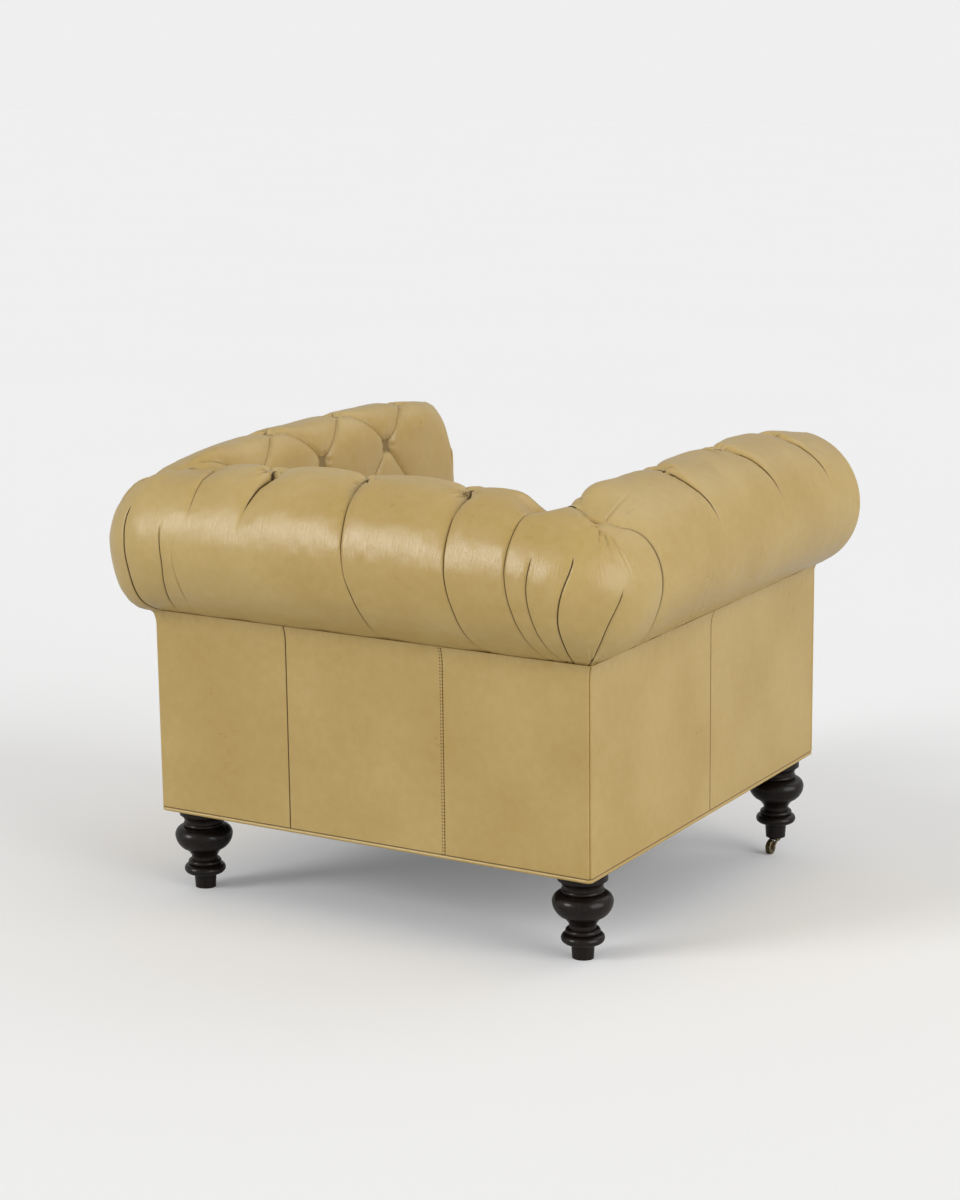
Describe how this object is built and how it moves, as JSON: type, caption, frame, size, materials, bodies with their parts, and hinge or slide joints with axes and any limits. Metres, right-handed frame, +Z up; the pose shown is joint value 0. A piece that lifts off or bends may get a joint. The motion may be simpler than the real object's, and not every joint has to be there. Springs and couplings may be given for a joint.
{
  "type": "tufted leather club chair",
  "caption": "Low leather club chair with rolled, pleated and buttoned arms and back, loose seat cushion, turned dark legs and casters in front.",
  "frame": {"origin": "centre of the bounding box at the floor", "axes": "+Z up, the sitter faces -Y, +X to the sitter's left"},
  "size_m": [1.0362, 0.9775, 0.8016],
  "materials": {
    "leather": "waxed, semi-matt",
    "foam": "open cell",
    "webbing": "woven elastic",
    "hessian": "coarse weave",
    "dust_cloth": "matt",
    "frame_timber": "sawn",
    "dark_wood": "gloss lacquer",
    "aged_brass": "aged",
    "steel": "zinc plated"
  },
  "bodies": {
    "chair_body": {"back_buttons": "leather", "back_padding": "leather", "back_tack_rail": "frame_timber", "back_top_rail": "frame_timber", "bottom_welt": "leather", "corner_blocks": "frame_timber", "crossways_webbing": "webbing", "deck_pad": "foam", "dust_cover": "dust_cloth", "front_border": "leather", "front_seat_rail": "frame_timber", "hessian_deck": "hessian", "left_arm_buttons": "leather", "left_arm_facing": "leather", "left_arm_facing_welt": "leather", "left_arm_padding": "leather", "left_arm_tack_rail": "frame_timber", "left_arm_top_rail": "frame_timber", "left_caster_socket": "aged_brass", "left_front_leg": "dark_wood", "left_front_outside_arm_panel": "leather", "left_front_post": "frame_timber", "left_outside_back_panel": "leather", "left_rear_corner_roll": "leather", "left_rear_leg": "dark_wood", "left_rear_outside_arm_panel": "leather", "left_rear_post": "frame_timber", "left_scroll_board": "frame_timber", "left_seat_rail": "frame_timber", "leg_bolts": "steel", "leg_plates": "steel", "lengthways_webbing": "webbing", "middle_outside_back_panel": "leather", "rear_seat_rail": "frame_timber", "right_arm_buttons": "leather", "right_arm_facing": "leather", "right_arm_facing_welt": "leather", "right_arm_padding": "leather", "right_arm_tack_rail": "frame_timber", "right_arm_top_rail": "frame_timber", "right_caster_socket": "aged_brass", "right_front_leg": "dark_wood", "right_front_outside_arm_panel": "leather", "right_front_post": "frame_timber", "right_outside_back_panel": "leather", "right_rear_corner_roll": "leather", "right_rear_leg": "dark_wood", "right_rear_outside_arm_panel": "leather", "right_rear_post": "frame_timber", "right_scroll_board": "frame_timber", "right_seat_rail": "frame_timber"},
    "seat_cushion": {"seat_cushion_core": "foam", "seat_cushion_cover": "leather"},
    "left_caster_swivel": {"left_caster_axle": "aged_brass", "left_caster_fork": "aged_brass"},
    "right_caster_swivel": {"right_caster_axle": "aged_brass", "right_caster_fork": "aged_brass"},
    "left_wheel": {"left_caster_wheel": "aged_brass"},
    "right_wheel": {"right_caster_wheel": "aged_brass"}
  },
  "joints": [
    {"name": "seat_cushion_lift", "type": "slide", "parent": "chair_body", "child": "seat_cushion", "axis": [0, 0.0407, 0.9992], "range_m": [0, 0.5]},
    {"name": "left_caster_turn", "type": "hinge", "parent": "chair_body", "child": "left_caster_swivel", "pos_m": [0.383, -0.4351, 0.02988], "axis": [0, 0.0407, 0.9992], "continuous": true},
    {"name": "left_wheel_roll", "type": "hinge", "parent": "left_caster_swivel", "child": "left_wheel", "pos_m": [0.383, -0.41375, 0.0135], "axis": [1, 0, 0], "continuous": true},
    {"name": "right_caster_turn", "type": "hinge", "parent": "chair_body", "child": "right_caster_swivel", "pos_m": [-0.383, -0.4351, 0.02988], "axis": [0, 0.0407, 0.9992], "continuous": true},
    {"name": "right_wheel_roll", "type": "hinge", "parent": "right_caster_swivel", "child": "right_wheel", "pos_m": [-0.383, -0.41375, 0.0135], "axis": [1, 0, 0], "continuous": true}
  ]
}
